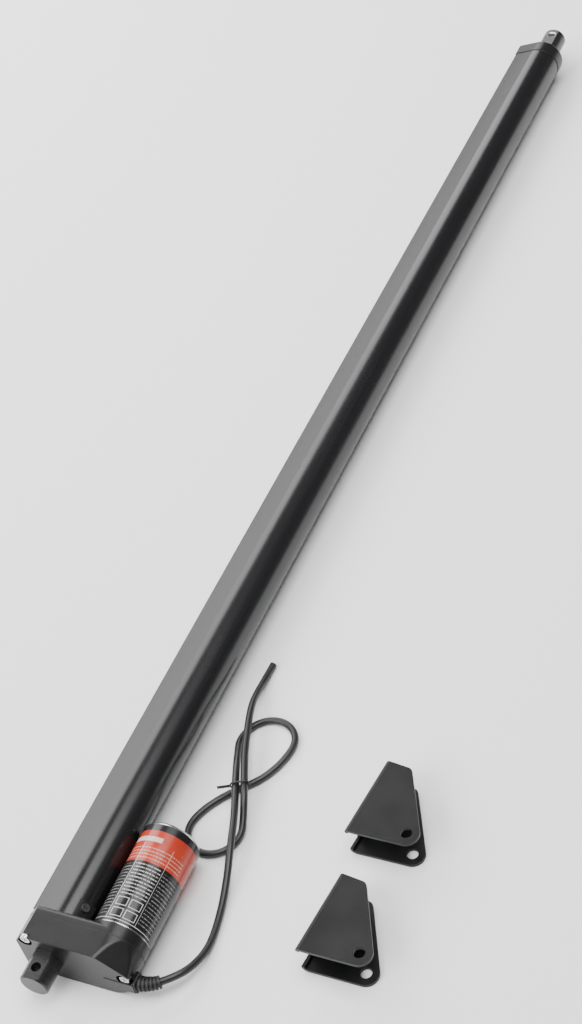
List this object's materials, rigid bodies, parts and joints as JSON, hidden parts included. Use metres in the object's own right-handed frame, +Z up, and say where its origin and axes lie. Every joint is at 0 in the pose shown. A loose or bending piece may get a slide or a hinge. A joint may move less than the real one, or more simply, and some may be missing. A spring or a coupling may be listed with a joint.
{
  "type": "linear actuator",
  "caption": "Electric linear actuator with a parallel motor, slim round-sided tube, eye at each end, cable and two loose U brackets.",
  "frame": {"origin": "centre of the cross hole in the rear eye, on the axis of the lead screw", "axes": "+X along the rod towards the front eye, the motor lies on the -Y side, +Z is up and parallel to both eye holes"},
  "size_m": [1.0224, 0.2215, 0.04],
  "materials": {
    "black_anodised": "satin black anodised",
    "black_diecast": "gloss black coated casting",
    "dark_steel": "satin blackened",
    "rod_aluminium": "satin",
    "bright_steel": "satin",
    "black_screw": "black oxide",
    "spring_steel": "satin",
    "bearing_steel": "polished",
    "white_nylon": "satin",
    "black_plastic": "satin",
    "bronze": "satin",
    "black_rubber": "matt",
    "motor_label": "gloss printed film",
    "motor_steel": "satin",
    "ferrite": "matt",
    "copper": "enamelled wire",
    "carbon": "matt",
    "circuit_board": "satin",
    "cable_jacket": "satin",
    "bracket_paint": "satin black"
  },
  "bodies": {
    "housing": {"bearing_balls": "bearing_steel", "bearing_outer_race": "bearing_steel", "cable_boot": "black_rubber", "case_screws": "bright_steel", "eye_flange_screws": "bright_steel", "front_cap": "black_diecast", "front_cap_gasket": "black_rubber", "front_cap_screws": "black_screw", "gearbox_front_case": "black_diecast", "gearbox_rear_case": "black_diecast", "gearbox_seal": "black_rubber", "idler_axle": "bright_steel", "idler_spacer": "black_plastic", "limit_switch_1": "black_plastic", "limit_switch_2": "black_plastic", "limit_switch_leads": "cable_jacket", "limit_switch_strip": "circuit_board", "motor_brush_holder": "black_plastic", "motor_brushes": "carbon", "motor_can": "motor_steel", "motor_end_plate": "motor_steel", "motor_front_bush": "bronze", "motor_label": "motor_label", "motor_magnets": "ferrite", "motor_rear_bush": "bronze", "motor_screws": "bright_steel", "mounting_bracket_1": "bracket_paint", "mounting_bracket_2": "bracket_paint", "outer_tube": "black_anodised", "power_cable": "cable_jacket", "rear_eye": "dark_steel", "rod_guide_bush": "white_nylon", "rod_wiper_seal": "black_rubber", "tube_screws": "black_screw", "twist_tie": "black_plastic"},
    "motor_rotor": {"motor_shaft": "bright_steel", "motor_pinion": "bright_steel", "armature_core": "motor_steel", "armature_windings": "copper", "commutator": "copper"},
    "idler": {"idler_gear": "white_nylon"},
    "screw": {"lead_screw": "bright_steel", "output_gear": "white_nylon", "gear_key": "spring_steel", "gear_clip": "spring_steel", "thrust_clip": "spring_steel", "bearing_inner_race": "bearing_steel", "screw_tip_bush": "white_nylon"},
    "rod": {"drive_nut": "white_nylon", "extension_rod": "rod_aluminium", "front_eye": "dark_steel", "rod_cross_pin": "spring_steel"}
  },
  "joints": [
    {"name": "rod_slide", "type": "slide", "parent": "housing", "child": "rod", "axis": [1, 0, 0], "range_m": [0, 0.9]},
    {"name": "screw_spin", "type": "hinge", "parent": "housing", "child": "screw", "pos_m": [0.04, 0, 0], "axis": [-1, 0, 0], "range_deg": [0, 108001]},
    {"name": "idler_spin", "type": "hinge", "parent": "housing", "child": "idler", "pos_m": [0.02, -0.019, 0], "axis": [-1, 0, 0], "range_deg": [-234001, 0]},
    {"name": "rotor_spin", "type": "hinge", "parent": "housing", "child": "motor_rotor", "pos_m": [0.03, -0.039, 0], "axis": [-1, 0, 0], "range_deg": [0, 741001]}
  ],
  "couplings": [
    {"joint": "screw_spin", "follows": "rod_slide", "rad_per_m": 2094.4},
    {"joint": "idler_spin", "follows": "rod_slide", "rad_per_m": -4537.9},
    {"joint": "rotor_spin", "follows": "rod_slide", "rad_per_m": 14370}
  ]
}
